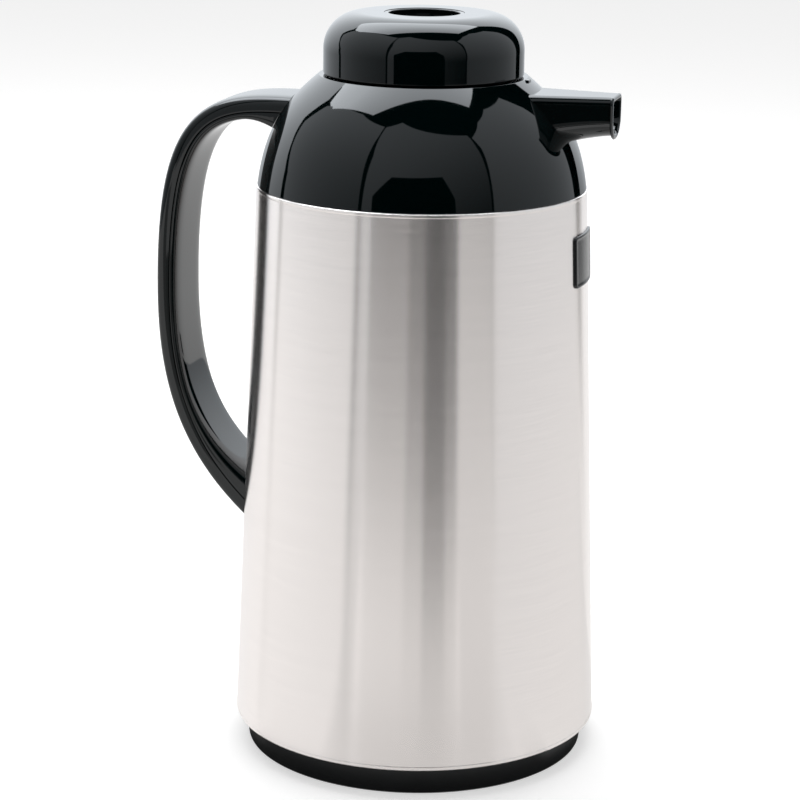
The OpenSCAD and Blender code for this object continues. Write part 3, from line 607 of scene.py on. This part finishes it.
# The rim in mm: its offset back from the mouth, half width, top, low point and edge rounding
rim = [(1.3, 8.52, 266.5, 251.08, 2.5), (1.25, 8.8, 266.5, 250.5, 2.5), (1.1, 9.3, 266.5, 249.95, 2.5),
       (0.9, 9.5, 266.5, 249.75, 2.5), (0.7, 9.55, 266.5, 249.7, 2.5), (0.4, 9.4, 266.4, 249.85, 2.4),
       (0.15, 9.1, 266.2, 250.1, 2.2), (0.03, 8.8, 265.95, 250.4, 2), (0, 8.5, 265.65, 250.8, 1.8),
       (0, 8.0, 265.2, 251.4, 1.5), (0.1, 7.8, 265.0, 251.6, 1.4), (0.6, 7.5, 264.7, 251.95, 1.3),
       (3, 7.0, 264.0, 252.6, 1.2)]
for offset, half_w, top, low, edge in rim:
    section = spout_section(half_w * mm, top * mm, low * mm, edge * mm)
    rings.append(flat_ring(spout_end_x - offset * mm, section))
rings += [flat_ring(x * mm, duct_section(0)) for x in (68, 60, 50)]
rings.append(flat_ring(spout_back_x, duct_section(0)))
spout = lofted("pouring_spout", rings, gloss_black, joined=True)
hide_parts("spout")
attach(spout, "root")


# ---- Handle ----
# Two gloss black shells that meet along the sides of the grip: an outer one of U section and an inner
# one that the palm closes round, which gets deeper where its arms run into the shoulder and the jacket.

handle_w = 30 * mm
outer_t = 6.1 * mm
inner_t = 3.1 * mm
handle_wall = 2.4 * mm
seam = 0.2 * mm
# How square the shells' section is: 1 gives an ellipse, 0 a rectangle
squareness = 0.37
# The inner shell gets deeper from these shares of the arms on, by these depths where they end
upper_flare_from, upper_flare_to, upper_flare = 0.28, 0.12, 4.5 * mm
lower_flare_from, lower_flare = 0.4, 7.7 * mm
parting = inner_t - (outer_t + inner_t) / 2
UPPER_ARM = [Vector(p) * mm for p in ((-44.1, 256.7), (-80.6, 257.7), (-101.8, 258.7), (-101.8, 181))]
LOWER_ARM = [Vector(p) * mm for p in ((-101.8, 181), (-101.8, 148.5), (-95.8, 118.5), (-66.05, 92.5))]

# Each station holds its place, its direction and how far it is along the upper and the lower arm
arm_steps = 48
stations = [(*on_curve(UPPER_ARM, i / arm_steps), i / arm_steps, 0) for i in range(arm_steps + 1)]
stations += [(*on_curve(LOWER_ARM, i / arm_steps), 1, i / arm_steps) for i in range(1, arm_steps + 1)]


def half_round(half_w, high, steps=32):
    """Half an outline, part ellipse and part rectangle, from one side over the top to the other."""
    points = []
    for i in range(steps + 1):
        c, s = math.cos(math.pi * i / steps), math.sin(math.pi * i / steps)
        points.append((math.copysign(abs(c) ** squareness, c) * half_w, abs(s) ** squareness * high))
    return points


def at_station(station, across, out):
    place, way = station[:2]
    return (place.x + out * way.y, across, place.y - out * way.x)


def edged(outline):
    """The outline with a small bevel at its two ends, which gives the line between the shells."""
    edge = 0.35 * mm
    side = outline[0][0]
    return ([(side - edge, 0), (side - edge * 0.25, edge * 0.4)] + outline[1:-1]
            + [(edge * 0.25 - side, edge * 0.4), (edge - side, 0)])


def outer_shell_ring(station):
    outer = edged(half_round(handle_w / 2, outer_t))
    inner = half_round(handle_w / 2 - handle_wall, outer_t - handle_wall)
    return [at_station(station, a, parting + o) for a, o in outer + inner[::-1]]


def inner_shell_ring(station):
    flare = max(0, upper_flare_from - station[2]) / (upper_flare_from - upper_flare_to)
    foot_flare = max(0, station[3] - lower_flare_from) / (1 - lower_flare_from)
    deep = inner_t - seam + upper_flare * flare ** 2 + lower_flare * foot_flare ** 2
    points = edged(half_round(handle_w / 2, deep))
    return [at_station(station, a, parting - seam - o) for a, o in points]


handle_outer = lofted("handle_outer_shell", [outer_shell_ring(s) for s in stations], gloss_black)
handle_inner = lofted("handle_palm_shell", [inner_shell_ring(s) for s in stations], gloss_black)
palm_boss_r = 2.6 * mm
palm_bore_r = 1.35 * mm
# The bosses' far ends in mm
bosses = [(-62.6, -6, 255.9), (-62.6, 6, 255.9), (-74.4, 0, 102.5)]
for x, y, z in bosses:
    combined(handle_inner, rod(palm_boss_r, (x - 1) * mm, (x + 14) * mm, y * mm, z * mm), "UNION")
    combined(handle_inner, rod(palm_bore_r, x * mm, -30 * mm, y * mm, z * mm), "DIFFERENCE")
joint_gap = 0.1 * mm
carafe_side = turned("carafe_side", [
    (0, 60 * mm, None), (jacket_r(60 * mm) - groove + joint_gap, 60 * mm, None),
    (jacket_r(bead_low_z) - groove + joint_gap, bead_low_z - 0.2 * mm, None),
    (jacket_top_r + joint_gap, bead_low_z, None), (jacket_top_r + joint_gap, jacket_top_z, None)]
    + dome_line(0.005, 1, 44, -joint_gap) + [(0, shoulder_top_z, None)], gloss_black, turns=288)
for shell, node in ((handle_outer, "handle_outer"), (handle_inner, "handle_inner")):
    combined(shell, carafe_side, "DIFFERENCE", drop=False)
    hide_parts(node)
    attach(shell, "root")
bpy.data.objects.remove(carafe_side)


# ---- Handle screws ----
# Three small steel screws hold the handle: two are driven from inside the shoulder, and one from inside
# the jacket, through a steel plate that backs the thin sheet.

turned_steel = coated("screw steel", brushed, {
    "Colour": (0.6, 0.59, 0.57, 1), "Streaks": (1800, 90, 90), "Shade change": 0.2,
    "Roughness": 0.3, "Gloss change": 0.15, "Streak depth": 0.002 * mm},
    metallic=1)
dress("handle_screws", turned_steel)
dress("handle_backing_plate", turned_steel)


# ---- Blank plate ----
# A thin plate moulded in satin black ABS and glued to the jacket under the spout. It is bare, with a
# narrow raised border round a sunk face.

plate_w = 27 * mm
plate_h = 20 * mm
plate_round = 1.6 * mm
plate_t = 0.8 * mm
plate_mid_z = 203.1 * mm


def plate_ring(inset, high, shrink=1.0):
    """The plate's outline, moved in by inset or shrunk, laid on the jacket at this height above it."""
    half_w, half_h = plate_w / 2 - inset, plate_h / 2 - inset
    corner = max(0.3 * mm, plate_round - inset)
    flat = softened([(-half_w, -half_h, corner), (half_w, -half_h, corner), (half_w, half_h, corner),
                     (-half_w, half_h, corner)], arc_steps=6)
    flat = [q for i, p in enumerate(flat)
            for q in (p.lerp(flat[(i + 1) % len(flat)], k / 12) for k in range(12))]
    ring = []
    for p in flat:
        z = plate_mid_z + p.y * shrink
        r = jacket_r(z) + high
        ring.append((r * math.cos(p.x * shrink / r), r * math.sin(p.x * shrink / r), z))
    return ring


satin_black = coated("satin black ABS", moulded, {
    "Colour": (0.006, 0.0075, 0.008, 1), "Shade change": 0.3, "Roughness": 0.24, "Gloss change": 0.08,
    "Grain size": 0.6 * mm, "Grain depth": 0.003 * mm})
raised = plate_t - 0.02 * mm
sunk_face = plate_t - 0.2 * mm
fills = [(1.3 * mm, sunk_face, k / 10) for k in range(9, 0, -1)]
steps = [(0, -0.1 * mm, 1), (0, raised - 0.3 * mm, 1), (0.1 * mm, raised - 0.1 * mm, 1),
         (0.3 * mm, raised, 1), (0.9 * mm, raised, 1), (1.05 * mm, raised - 0.05 * mm, 1),
         (1.15 * mm, sunk_face + 0.05 * mm, 1), (1.3 * mm, sunk_face, 1)] + fills
backs = [(0, -0.1 * mm, k / 10) for k in range(1, 10)]
plate = lofted("blank_plate", [plate_ring(*s) for s in backs + steps], satin_black)
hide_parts("name_plate")
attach(plate, "root")


# ---- Studio ----
# A white floor under plain soft light from above. Large cards stand all round and give the gloss and the
# steel their panels; only reflections see them.

def glow(name, radiance, rise=(0, 0, 0), most=20.0, tint=(0.95, 1, 1.05, 1)):
    """A plain emitter whose radiance rises by so much a metre along X, Y and Z, between 0 and most."""
    finish = bpy.data.materials.new(name)
    finish.use_nodes = True
    tree = finish.node_tree
    shader = tree.nodes["Principled BSDF"]
    shader.inputs["Specular IOR Level"].default_value = 0
    shader.inputs["Base Color"].default_value = (0, 0, 0, 1)
    shader.inputs["Roughness"].default_value = 1
    shader.inputs["Emission Color"].default_value = tint
    place = wired(tree, "ShaderNodeTexCoord", {}).outputs["Object"]
    slope = wired(tree, "ShaderNodeVectorMath", {0: place, 1: rise},
                  operation="DOT_PRODUCT").outputs["Value"]
    strength = maths(tree, "MAXIMUM", maths(tree, "ADD", slope, radiance), 0)
    strength = maths(tree, "MINIMUM", strength, most)
    tree.links.new(strength, shader.inputs["Emission Strength"])
    return finish


def ray_kind(tree, *rays):
    """Output that is 1 for rays of these kinds and 0 for all others."""
    path = wired(tree, "ShaderNodeLightPath", {})
    seen = path.outputs[rays[0]]
    for ray in rays[1:]:
        seen = maths(tree, "MAXIMUM", seen, path.outputs[ray])
    return seen


# The floor is lit white card to the camera, and an even tone to reflections
floor_half = 8.0
floor_tone = 0.8
floor_glare = 0.49
floor_sheen = 0.95
floor_corners = [(-floor_half, -floor_half, 0), (floor_half, -floor_half, 0),
                 (floor_half, floor_half, 0), (-floor_half, floor_half, 0)]
floor = drawn_piece("floor", floor_corners, [], [(0, 1, 2, 3)])
floor_white = bpy.data.materials.new("floor white")
floor_white.use_nodes = True
tree = floor_white.node_tree
shader = tree.nodes["Principled BSDF"]
shader.inputs["Specular IOR Level"].default_value = 0
shader.inputs["Roughness"].default_value = 1
shader.inputs["Emission Color"].default_value = (1, 1, 1, 1)
mirrored = ray_kind(tree, "Is Glossy Ray")
tone = maths(tree, "MULTIPLY", maths(tree, "SUBTRACT", 1, mirrored), floor_tone)
tree.links.new(tone, shader.inputs["Base Color"])
glare = maths(tree, "MULTIPLY", ray_kind(tree, "Is Camera Ray"), floor_glare)
sheen = maths(tree, "MULTIPLY", mirrored, floor_sheen)
tree.links.new(maths(tree, "ADD", glare, sheen), shader.inputs["Emission Strength"])
floor.data.materials.append(floor_white)

world = bpy.data.worlds.new("studio")
bpy.context.scene.world = world
world.use_nodes = True
tree = world.node_tree
world_light = 0.45
seen = ray_kind(tree, "Is Camera Ray", "Is Transmission Ray")
mirrored = maths(tree, "MULTIPLY", ray_kind(tree, "Is Glossy Ray"), 0.5)
strength = maths(tree, "ADD", maths(tree, "MULTIPLY", seen, 0.6), mirrored)
strength = maths(tree, "ADD", strength, world_light)
tree.links.new(strength, tree.nodes["Background"].inputs["Strength"])
tree.nodes["Background"].inputs["Color"].default_value = (1, 1, 1, 1)


def reflection_only(piece):
    for ray in ("camera", "diffuse", "transmission", "volume_scatter", "shadow"):
        setattr(piece, "visible_" + ray, False)


card_centre = Vector((0, 0, 0.2))


def direction(turn, rise):
    turn, rise = math.radians(turn), math.radians(rise)
    return Vector((math.cos(rise) * math.sin(turn), -math.cos(rise) * math.cos(turn), math.sin(rise)))


def card(name, left, right, finish, radius=1.5):
    """A curved card between two edges, each a list of (azimuth, elevation) from its foot to its top."""
    across, up = 24, 8
    points = []
    for (left_low, left_high), (right_low, right_high) in zip(zip(left, left[1:]), zip(right, right[1:])):
        for j in range(up + 1):
            start = Vector(left_low).lerp(Vector(left_high), j / up)
            end = Vector(right_low).lerp(Vector(right_high), j / up)
            for i in range(across + 1):
                points.append(card_centre + direction(*start.lerp(end, i / across)) * radius)
    row = across + 1
    rows = len(points) // row
    faces = [(j * row + i, j * row + i + 1, (j + 1) * row + i + 1, (j + 1) * row + i)
             for j in range(rows - 1) for i in range(across)]
    piece = drawn_piece(name, points, [], faces)
    piece.data.materials.append(finish)
    reflection_only(piece)


floor_edge = -7.5
black = glow("black cloth", 0)
card("backing", [(-118, floor_edge), (-118, 89)], [(158, floor_edge), (158, 89)], black, radius=1.65)
card("left_card", [(-93, floor_edge), (-94, 7), (-100, 16), (-107, 28), (-106, 41), (-93, 52), (-70, 59)],
     [(-28.5, floor_edge), (-28.5, 7), (-28.5, 16), (-29, 28), (-29.5, 41), (-30, 52), (-32, 60)],
     glow("left card", 0.62, (0, 0.3, 0.35)))
card("middle_card", [(-26.5, floor_edge), (-25, 35), (-30, 60), (-15, 67)],
     [(62.6, floor_edge), (62.8, 35), (62, 50), (61, 53)],
     glow("middle card", 0.27, (-0.2, 0, 0.35)))
card("right_card", [(64, floor_edge), (64.5, 20), (66, 40), (64, 50), (85, 58.5)],
     [(144, floor_edge), (142, 8), (139, 38), (134, 51), (109, 60)],
     glow("right card", 0.45, (0, 0.1, 0.4)))
card("back_card", [(155, floor_edge), (156, 8), (158, 20), (158, 38), (158, 41), (158, 50), (158, 85)],
     [(263, floor_edge), (262, 7), (257, 17), (249, 28), (248, 40.6), (240, 46), (232, 85)],
     glow("back card", 0.55, (-0.1, 0, 1.85), 3.6))
card("door", [(-19, floor_edge), (-19, 12), (-7, 23)],
     [(38.5, floor_edge), (37, 12), (29, 24)], black, radius=1.3)

# Softbox overhead: a lamp that lights everything, and a brighter face that only reflections see
box_z = 1.25
box_low = Vector((-1.0, -0.12, box_z))
box_size = Vector((1.4, 1.12, 0))
lamp_radiance = 2.6
lamp = bpy.data.lights.new("softbox", "AREA")
lamp.shape = "RECTANGLE"
lamp.size = box_size.x
lamp.size_y = box_size.y
lamp.energy = lamp_radiance * math.pi * box_size.x * box_size.y
softbox = bpy.data.objects.new("softbox", lamp)
softbox.location = box_low + box_size / 2
softbox.visible_camera = False
softbox.visible_glossy = False
bpy.context.scene.collection.objects.link(softbox)
face_corners = [(-0.46, -0.28), (-1.08, 0.19), (-1.1, 0.35), (-0.97, 0.46), (-0.93, 0.72), (0.33, 0.74),
                (0.44, 0.07)]
face = drawn_piece("softbox_face", [(x, y, box_z) for x, y in face_corners], [], [tuple(range(7))])
face.data.materials.append(glow("softbox face", 4.7, (-2, 5, 0), 6.4))
reflection_only(face)

# Light and shade painted on the floor for reflections only, as sectors: azimuth from and to, distance
# from and to in metres, and radiance. The bright ones are painted light and the dark ones painted shade;
# the last two are painted shade round the foot, in place of the carafe's own shadow
painted_floor_tones = [
    (-95, -30, 0.4, 1.45, 1.05), (61, 144, 0.08, 1.4, 0.84), (-25, 60, 0.1, 0.2, 0.75),
    (-19, 39, 0.2, 0.42, 1.3), (-29.5, -26, 0.45, 1.4, 0.35), (-26, -19, 0.62, 1, 0.25),
    (-19, 7, 0.42, 0.8, 0.75), (-19, 18, 0.8, 1.4, 0.02), (7, 18, 0.42, 0.8, 0.25),
    (18, 31, 0.34, 1.4, 0), (31, 39, 0.42, 1.4, 0.02), (147, 153, 1, 1.4, 0.1),
    (-55, 70, 0.06, 0.084, 0.04), (-180, 180, 0, 0.077, 0.04)]
# Each sector is a flat patch that glows for reflections only: painted light where its radiance is high,
# painted shade where it is low
for i, (turn0, turn1, near, far, tone) in enumerate(painted_floor_tones):
    lift = (0.1 + 0.05 * i) * mm
    arc = [direction(turn0 + (turn1 - turn0) * k / 32, 0) for k in range(33)]
    rim = [d * near for d in arc] + [d * far for d in arc]
    painted_floor_patch = drawn_piece("floor_painted_light_and_shade", [(p.x, p.y, lift) for p in rim], [],
                              [(k, k + 1, 34 + k, 33 + k) for k in range(32)])
    painted_floor_patch.data.materials.append(glow("painted floor light and shade", tone, tint=(1, 1, 1, 1)))
    reflection_only(painted_floor_patch)


# ---- Camera ----
# The photograph's view through a long lens: square to the line from handle to spout, but for 15 degrees
# towards the spout, and looking down by 15 degrees.

camera_place = Vector((0.24829, -0.95558, 0.40306))
view_turn = math.radians(15)
view_pitch = math.radians(14.9)
view_roll = math.radians(0.738)
camera_data = bpy.data.cameras.new("camera")
camera_data.lens = 114.83
camera_data.sensor_width = 36
camera = bpy.data.objects.new("camera", camera_data)
camera.matrix_world = (Matrix.Translation(camera_place) @ Matrix.Rotation(view_turn, 4, "Z")
                       @ Matrix.Rotation(math.pi / 2 - view_pitch, 4, "X")
                       @ Matrix.Rotation(view_roll, 4, "Z"))
bpy.context.scene.collection.objects.link(camera)
bpy.context.scene.camera = camera
bpy.context.scene.view_settings.view_transform = "Standard"
